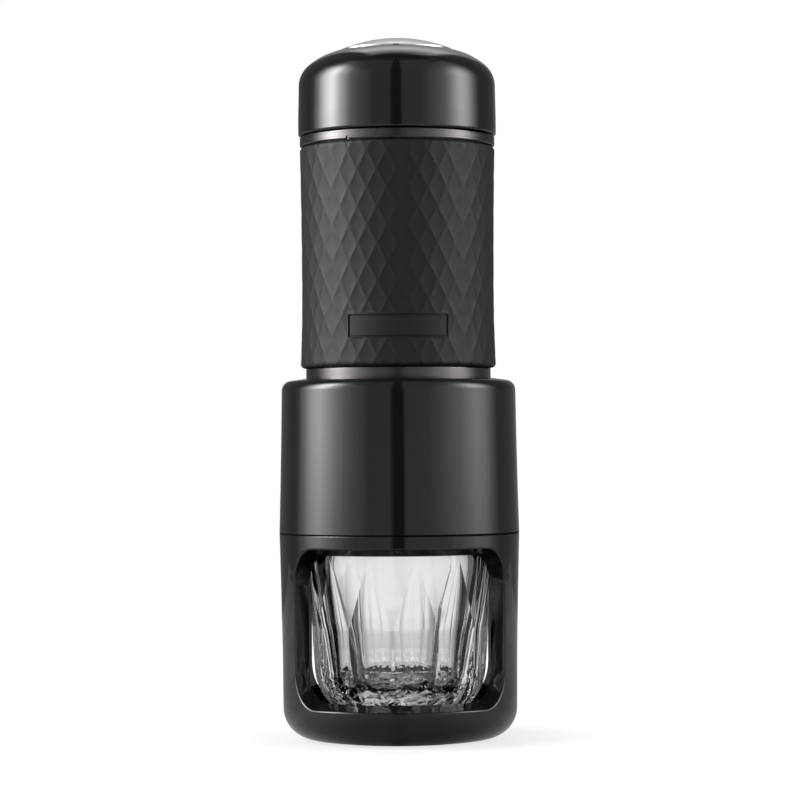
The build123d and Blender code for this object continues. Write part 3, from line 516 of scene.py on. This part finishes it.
# ---------------------------------------------------------------- springs
SPRING_STEPS = 48          # along one turn
SPRING_SIDES = 12          # round the wire


def make_spring(name, cad_node, wire, turns, flat=1.0):
    """Coil between the pump and the body that it pushes, in the box of the CAD spring that it replaces.

    Its wire is drawn flattened in height by the share flat.
    """
    low, high = nodes_box(cad_node)
    middle = (low + high) / 2
    r = (high.x - low.x) / 2 - wire
    steps = round(turns * SPRING_STEPS)
    verts, faces = [], []
    for i in range(steps + 1):
        a = math.tau * turns * i / steps
        z = low.z + wire * flat + (high.z - low.z - 2 * wire * flat) * i / steps
        for k in range(SPRING_SIDES):
            b = math.tau * k / SPRING_SIDES
            out = r + wire * math.cos(b)
            verts.append((middle.x + out * math.cos(a), middle.y + out * math.sin(a), z + wire * flat * math.sin(b)))
    for i in range(steps):
        for k in range(SPRING_SIDES):
            n = (k + 1) % SPRING_SIDES
            p, q = i * SPRING_SIDES + k, i * SPRING_SIDES + n
            faces.append((p, p + SPRING_SIDES, q + SPRING_SIDES, q))
    faces.append(tuple(range(SPRING_SIDES)))
    faces.append(tuple(steps * SPRING_SIDES + k for k in reversed(range(SPRING_SIDES))))
    obj = new_object(name, verts, faces, MAT["spring_steel"])
    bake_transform(obj)
    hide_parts(cad_node)


make_spring("return_coil", "return_spring", wire=0.6, turns=5.0, flat=0.22)
make_spring("outlet_coil", "outlet_valve_spring", wire=0.22, turns=5.0)


# ---------------------------------------------------------------- studio
# The tables give a level of light against a place or a direction. Turns are in degrees from the
# front, and a direction's X, Y and height run from -1 to 1. Lengths are in metres.
PANEL_X = 0.6              # the panels stand this far to each side
UPPER_PANEL_X = 0.602      # the upper ones just behind them
PANEL_CUT = 0.75           # share of a panel that isn't seen through glass
BLACK_GAP = 6.2            # half the dark gap between the front lights, degrees

# Room round the object, by turn and by height, and the dark gap in front of it.
ROOM = [
    (-180, 0.15), (-116, 0.15), (-75, 0.3), (-60, 0.5), (-30, 0.46), (30, 0.62), (60, 0.5), (75, 0.3), (116, 0.2),
    (180, 0.15),
]
ROOM_UP = [(-1.0, 1.0), (0.02, 1.0), (0.12, 0.8), (0.92, 0.8), (0.97, 0.25), (1.0, 0.25)]
GAP = [(-180, 0.0), (-BLACK_GAP - 2, 0.0), (-BLACK_GAP, 0.9), (BLACK_GAP - 2, 0.9), (BLACK_GAP, 0.0), (180, 0.0)]

# Pale ground seen through glass, by turn and by height.
PAPER = [
    (-180, 1.0), (-168, 1.0), (-158, 0.7), (-148, 0.35), (-138, 0.0), (138, 0.0), (148, 0.35), (158, 0.7), (168, 1.0),
    (180, 1.0),
]
PAPER_TOP = [(-1.0, 0.84), (0.02, 0.84), (0.08, 0.6), (0.15, 0.3), (0.3, 0.1), (0.5, 0.0), (1.0, 0.0)]

# The same ground mirrored in the rims, by turn and by height.
EDGE = [(-180, 0.2), (-176, 0.2), (-171, 0.0), (150, 0.0), (158, 0.08), (171, 0.08), (176, 0.2), (180, 0.2)]
EDGE_TOP = [(-1.0, 1.0), (0.3, 1.0), (0.5, 0.0), (1.0, 0.0)]

# Light behind and over the object, by X and by height.
GLOW_WIDE = [(-1.0, 0.0), (-0.205, 0.0), (-0.165, 1.0), (0.23, 1.0), (0.285, 0.0), (1.0, 0.0)]
GLOW_UP = [
    (-1.0, 0.0), (0.2, 0.0), (0.3, 0.15), (0.4, 0.3), (0.5, 0.42), (0.58, 0.7), (0.66, 1.4), (0.74, 2.2), (0.8, 2.1),
    (0.85, 1.3), (0.885, 0.95), (0.905, 0.5), (0.92, 0.05), (0.93, 0.0), (1.0, 0.0),
]

# Table: the gap and the sides by turn, the rest by distance from the middle of the foot.
FLOOR_GAP = [(-180, 0.0), (-8, 0.0), (-2, 0.6), (1, 0.6), (6, 0.0), (180, 0.0)]
THROUGH = [(0.0, 0.12), (0.05, 0.2), (0.12, 0.42), (0.2, 0.66), (0.3, 0.76), (0.55, 0.8)]
MIRRORED = [(0.0, 0.08), (0.05, 0.14), (0.12, 0.3), (0.3, 0.65), (0.55, 1.0)]
BESIDE = [(-180, 0.2), (-70, 0.25), (-35, 1.0), (35, 1.0), (70, 0.3), (180, 0.2)]
NEAR = [(0.0, 0.25), (0.06, 0.35), (0.12, 0.25), (0.2, 0.0)]
NEAR_SIDES = [
    (-180, 0.0), (-130, 0.5), (-95, 1.0), (-60, 0.8), (-25, 0.0), (25, 0.0), (60, 0.8), (95, 1.0), (130, 0.5),
    (180, 0.0),
]


def node(tree, kind, **settings):
    made = tree.nodes.new(kind)
    for key, value in settings.items():
        setattr(made, key, value)
    return made


def ramp(tree, value, stops):
    """A smooth curve through (input, output) stops."""
    low, high = stops[0][0], stops[-1][0]
    spread = node(tree, "ShaderNodeMapRange")
    spread.inputs["From Min"].default_value = low
    spread.inputs["From Max"].default_value = high
    tree.links.new(value, spread.inputs["Value"])
    made = node(tree, "ShaderNodeValToRGB")
    while len(made.color_ramp.elements) < len(stops):
        made.color_ramp.elements.new(0.5)
    for element, (where, level) in zip(made.color_ramp.elements, stops):
        element.position = (where - low) / (high - low)
        element.color = (level, level, level, 1)
    tree.links.new(spread.outputs["Result"], made.inputs["Fac"])
    return made.outputs["Color"]


def math_node(tree, operation, first, second=None):
    made = node(tree, "ShaderNodeMath", operation=operation)
    for slot, value in enumerate((first, second)):
        if value is None:
            continue
        if isinstance(value, (int, float)):
            made.inputs[slot].default_value = value
        else:
            tree.links.new(value, made.inputs[slot])
    return made.outputs["Value"]


def studio_world():
    """White paper behind and a dim room round it, with a dark gap in front."""
    world = bpy.data.worlds.new("studio")
    bpy.context.scene.world = world
    world.use_nodes = True
    tree = world.node_tree
    tree.nodes.clear()
    out = node(tree, "ShaderNodeOutputWorld")
    paper = node(tree, "ShaderNodeBackground")
    paper.inputs["Color"].default_value = (1, 1, 1, 1)
    room = node(tree, "ShaderNodeBackground")
    mix = node(tree, "ShaderNodeMixShader")
    path = node(tree, "ShaderNodeLightPath")
    coord = node(tree, "ShaderNodeTexCoord")
    split = node(tree, "ShaderNodeSeparateXYZ")
    tree.links.new(coord.outputs["Generated"], split.inputs["Vector"])
    back = math_node(tree, "MULTIPLY", split.outputs["Y"], -1.0)
    turn = math_node(tree, "ARCTAN2", split.outputs["X"], back)
    degrees = math_node(tree, "DEGREES", turn)
    height = split.outputs["Z"]
    gap = ramp(tree, degrees, GAP)
    walls = math_node(tree, "MULTIPLY", ramp(tree, degrees, ROOM), math_node(tree, "SUBTRACT", 1.0, gap))
    walls = math_node(tree, "MULTIPLY", walls, ramp(tree, height, ROOM_UP))
    behind = ramp(tree, split.outputs["Y"], [(-1.0, 0.0), (0.05, 0.0), (0.2, 1.0), (1.0, 1.0)])
    glow = math_node(tree, "MULTIPLY", ramp(tree, split.outputs["X"], GLOW_WIDE), ramp(tree, height, GLOW_UP))
    glow = math_node(tree, "MULTIPLY", glow, behind)
    through = math_node(tree, "MULTIPLY", ramp(tree, degrees, PAPER), ramp(tree, height, PAPER_TOP))
    through = math_node(tree, "MULTIPLY", through, path.outputs["Is Transmission Ray"])
    mirrored = math_node(tree, "MULTIPLY", ramp(tree, degrees, EDGE), ramp(tree, height, EDGE_TOP))
    mirrored = math_node(tree, "MULTIPLY", mirrored, path.outputs["Is Glossy Ray"])
    white = math_node(tree, "MAXIMUM", path.outputs["Is Camera Ray"], math_node(tree, "MAXIMUM", through, mirrored))
    room.inputs["Color"].default_value = (0.99, 1.0, 1.02, 1)
    tree.links.new(math_node(tree, "ADD", walls, glow), room.inputs["Strength"])
    tree.links.new(white, mix.inputs["Fac"])
    tree.links.new(room.outputs["Background"], mix.inputs[1])
    tree.links.new(paper.outputs["Background"], mix.inputs[2])
    tree.links.new(mix.outputs["Shader"], out.inputs["Surface"])


def softbox(name, x, strength, y_stops, z_stops):
    """A see-through panel of light, unseen by the camera, with (metres, level) stops along Y and up Z."""
    look = bpy.data.materials.new(name)
    look.use_nodes = True
    tree = look.node_tree
    tree.nodes.clear()
    out = node(tree, "ShaderNodeOutputMaterial")
    glow = node(tree, "ShaderNodeEmission")
    coord = node(tree, "ShaderNodeTexCoord")
    split = node(tree, "ShaderNodeSeparateXYZ")
    tree.links.new(coord.outputs["Object"], split.inputs["Vector"])
    along = ramp(tree, split.outputs["Y"], y_stops)
    up = ramp(tree, split.outputs["Z"], z_stops)
    level = math_node(tree, "MULTIPLY", math_node(tree, "MULTIPLY", along, up), strength)
    path = node(tree, "ShaderNodeLightPath")
    less = math_node(tree, "MULTIPLY", path.outputs["Is Transmission Ray"], PANEL_CUT)
    less = math_node(tree, "MAXIMUM", less, path.outputs["Is Camera Ray"])
    level = math_node(tree, "MULTIPLY", level, math_node(tree, "SUBTRACT", 1.0, less))
    tree.links.new(level, glow.inputs["Strength"])
    both = node(tree, "ShaderNodeAddShader")
    tree.links.new(node(tree, "ShaderNodeBsdfTransparent").outputs["BSDF"], both.inputs[0])
    tree.links.new(glow.outputs["Emission"], both.inputs[1])
    tree.links.new(both.outputs["Shader"], out.inputs["Surface"])
    y0, y1 = y_stops[0][0], y_stops[-1][0]
    z0, z1 = z_stops[0][0], z_stops[-1][0]
    sheet(name, [(x, y0, z0), (x, y1, z0), (x, y1, z1), (x, y0, z1)], look)


def sheet(name, corners, material):
    """A flat piece of the studio, which isn't part of the object."""
    mesh = bpy.data.meshes.new(name)
    mesh.from_pydata(corners, [], [(0, 1, 2, 3)])
    mesh.materials.append(material)
    obj = bpy.data.objects.new(name, mesh)
    bpy.context.scene.collection.objects.link(obj)


def floor():
    """A plain pale table top, white to the camera, with the real shadow under the foot kept and a painted shadow
    round the foot.
    """
    look = Look("table paper", IOR=1.4)
    look.colour(look.blend(look.noise(6, 2), (0.16, 0.16, 0.16), (0.18, 0.18, 0.18)))
    look.rough(look.between(look.noise(40, 2), 0.7, 0.8))
    tree = look.tree
    path = node(tree, "ShaderNodeLightPath")
    coord = node(tree, "ShaderNodeTexCoord")
    length = node(tree, "ShaderNodeVectorMath", operation="LENGTH")
    tree.links.new(coord.outputs["Object"], length.inputs[0])
    # painted shadow: to the camera the table glows less near the foot, so it is darker there as well as in the real
    # shadow
    camera_glow_painted_shadow = ramp(tree, length.outputs["Value"], [(0.0, 0.72), (0.045, 0.76), (0.08, 0.95), (0.13, 1.0)])
    mirrored = ramp(tree, length.outputs["Value"], MIRRORED)
    split = node(tree, "ShaderNodeSeparateXYZ")
    tree.links.new(coord.outputs["Object"], split.inputs["Vector"])
    back = math_node(tree, "MULTIPLY", split.outputs["Y"], -1.0)
    degrees = math_node(tree, "DEGREES", math_node(tree, "ARCTAN2", split.outputs["X"], back))
    mirrored = math_node(tree, "MULTIPLY", mirrored, math_node(tree, "SUBTRACT", 1.0, ramp(tree, degrees, FLOOR_GAP)))
    mirrored = math_node(tree, "MULTIPLY", mirrored, ramp(tree, degrees, BESIDE))
    near = math_node(tree, "MULTIPLY", ramp(tree, length.outputs["Value"], NEAR), ramp(tree, degrees, NEAR_SIDES))
    mirrored = math_node(tree, "ADD", mirrored, near)
    camera_glow_painted_shadow = math_node(tree, "MULTIPLY", path.outputs["Is Camera Ray"], camera_glow_painted_shadow)
    mirrored = math_node(tree, "MULTIPLY", path.outputs["Is Glossy Ray"], mirrored)
    through = math_node(tree, "MULTIPLY", ramp(tree, length.outputs["Value"], THROUGH), ramp(tree, degrees, PAPER))
    through = math_node(tree, "MULTIPLY", path.outputs["Is Transmission Ray"], through)
    look.shader.inputs["Emission Color"].default_value = (1, 1, 1, 1)
    level = math_node(tree, "MAXIMUM", camera_glow_painted_shadow, math_node(tree, "MAXIMUM", mirrored, through))
    tree.links.new(level, look.shader.inputs["Emission Strength"])
    sheet("table", [(-0.6, -0.45, 0), (0.6, -0.45, 0), (0.6, 0.6, 0), (-0.6, 0.6, 0)], look.mat)


studio_world()
floor()
softbox(
    "softbox_left", -PANEL_X, 7.5,
    [
        (-1.1, 0.0), (-0.62, 0.1), (-0.46, 0.21), (-0.33, 0.41), (-0.2, 0.8), (-0.1, 1.1), (0.0, 0.84), (0.12, 0.28),
        (0.24, 0.03), (0.35, 0.0),
    ],
    [
        (0.0, 0.3), (0.05, 0.42), (0.12, 0.83), (0.2, 0.9), (0.5, 0.93), (0.64, 0.78), (0.72, 0.55), (0.8, 0.33),
        (0.97, 0.15), (1.3, 0.05), (1.5, 0.0),
    ],
)
softbox(
    "softbox_left_upper", -UPPER_PANEL_X, 9.3,
    [
        (-0.42, 0.0), (-0.346, 0.15), (-0.242, 0.37), (-0.14, 1.0), (-0.09, 0.97), (-0.04, 0.72), (0.06, 0.25),
        (0.13, 0.04), (0.2, 0.0),
    ],
    [(0.14, 0.0), (0.24, 0.75), (0.29, 1.0), (0.52, 1.05), (0.64, 0.8), (0.72, 0.5), (0.8, 0.25), (0.95, 0.0)],
)
softbox(
    "softbox_right", PANEL_X, 3.3,
    [
        (-1.1, 0.0), (-0.87, 0.06), (-0.65, 0.17), (-0.36, 0.45), (-0.13, 1.04), (-0.02, 0.81), (0.1, 0.25),
        (0.2, 0.02), (0.3, 0.0),
    ],
    [
        (0.0, 0.35), (0.05, 0.5), (0.12, 0.9), (0.2, 1.0), (0.4, 1.0), (0.55, 0.8), (0.7, 0.5), (0.85, 0.3),
        (1.1, 0.15), (1.3, 0.0),
    ],
)
softbox(
    "softbox_right_upper", UPPER_PANEL_X, 3.7,
    [(-0.42, 0.0), (-0.3, 0.3), (-0.16, 1.0), (-0.09, 1.0), (-0.03, 0.7), (0.06, 0.22), (0.16, 0.0)],
    [(0.14, 0.0), (0.24, 0.75), (0.29, 1.0), (0.4, 1.0), (0.48, 0.9), (0.6, 0.45), (0.7, 0.1), (0.78, 0.0)],
)


# ---------------------------------------------------------------- camera
CAMERA_AT = (0, -0.9437, 0.0949)
CAMERA_LENS = 130.5        # mm, on a 36 mm sensor
CAMERA_PAN = -0.028        # degrees
CAMERA_TILT = 0.909
CAMERA_ROLL = -0.34


def camera():
    """Long lens a little above the middle, tilted up by less than a degree."""
    data = bpy.data.cameras.new("camera")
    data.sensor_width = 36
    data.lens = CAMERA_LENS
    obj = bpy.data.objects.new("camera", data)
    look = Matrix.Rotation(math.radians(CAMERA_PAN), 4, "Z")
    look = look @ Matrix.Rotation(math.radians(90 + CAMERA_TILT), 4, "X")
    look = look @ Matrix.Rotation(math.radians(CAMERA_ROLL), 4, "Z")
    obj.matrix_world = Matrix.Translation(CAMERA_AT) @ look
    bpy.context.scene.collection.objects.link(obj)
    bpy.context.scene.camera = obj


camera()
bpy.context.scene.view_settings.view_transform = "Standard"
